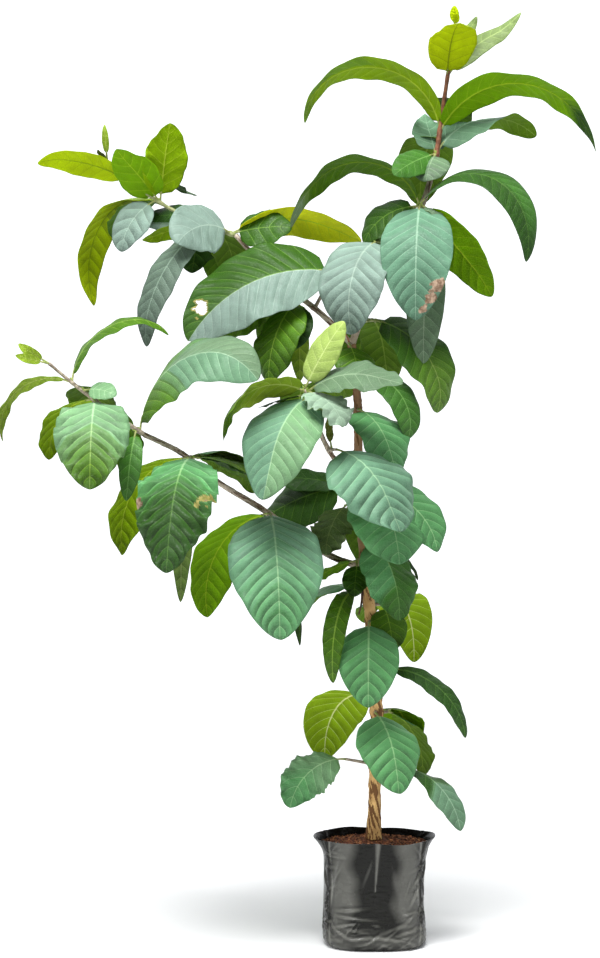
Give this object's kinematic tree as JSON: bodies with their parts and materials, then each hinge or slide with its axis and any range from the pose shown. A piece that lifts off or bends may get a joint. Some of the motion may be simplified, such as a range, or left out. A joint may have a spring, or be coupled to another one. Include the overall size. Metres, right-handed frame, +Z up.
{
  "type": "potted guava tree",
  "caption": "Young guava tree with a slender trunk, four boughs and large drooping opposite leaves, standing in a soil-filled black film grow bag.",
  "frame": {"origin": "middle of the flat underside of the grow bag", "axes": "+Z up along the trunk, +X to the right along the bag's flat front, -Y out of that front"},
  "size_m": [0.5523, 0.2697, 0.8945],
  "materials": {
    "bag_film": "gloss",
    "soil": "matte",
    "trunk_bark": "matte",
    "bough_bark": "matte",
    "leaves": "satin",
    "young_leaves": "satin"
  },
  "bodies": {
    "root": {"grow_bag": "bag_film", "soil": "soil", "trunk": "trunk_bark", "leader_bough": "bough_bark", "upper_left_bough": "bough_bark", "middle_bough": "bough_bark", "low_left_bough": "bough_bark", "leader_top_leaves": "young_leaves", "leader_middle_leaves": "leaves", "leader_left_leaf": "leaves", "leader_right_leaf": "leaves", "leader_foot_leaves": "leaves", "upper_left_top_leaves": "young_leaves", "upper_left_middle_leaves": "leaves", "upper_left_low_leaves": "leaves", "middle_bough_leaves": "leaves", "fork_leaf": "leaves", "fork_right_leaf": "leaves", "trunk_upper_leaf": "leaves", "middle_bough_foot_leaf": "leaves", "trunk_upper_back_leaves": "leaves", "trunk_middle_right_leaves": "leaves", "trunk_middle_left_leaf": "leaves", "trunk_waist_right_leaves": "leaves", "trunk_waist_left_leaves": "leaves", "trunk_low_left_leaf": "leaves", "trunk_low_right_leaves": "leaves", "trunk_low_front_leaf": "leaves", "trunk_foot_right_leaf": "leaves", "trunk_foot_left_leaf": "leaves", "base_front_leaf": "leaves", "base_back_leaf": "leaves", "base_left_leaf": "leaves", "base_right_leaf": "leaves", "low_left_top_leaves": "leaves", "low_left_middle_leaves": "leaves", "low_left_inner_leaves": "leaves"}
  },
  "joints": []
}
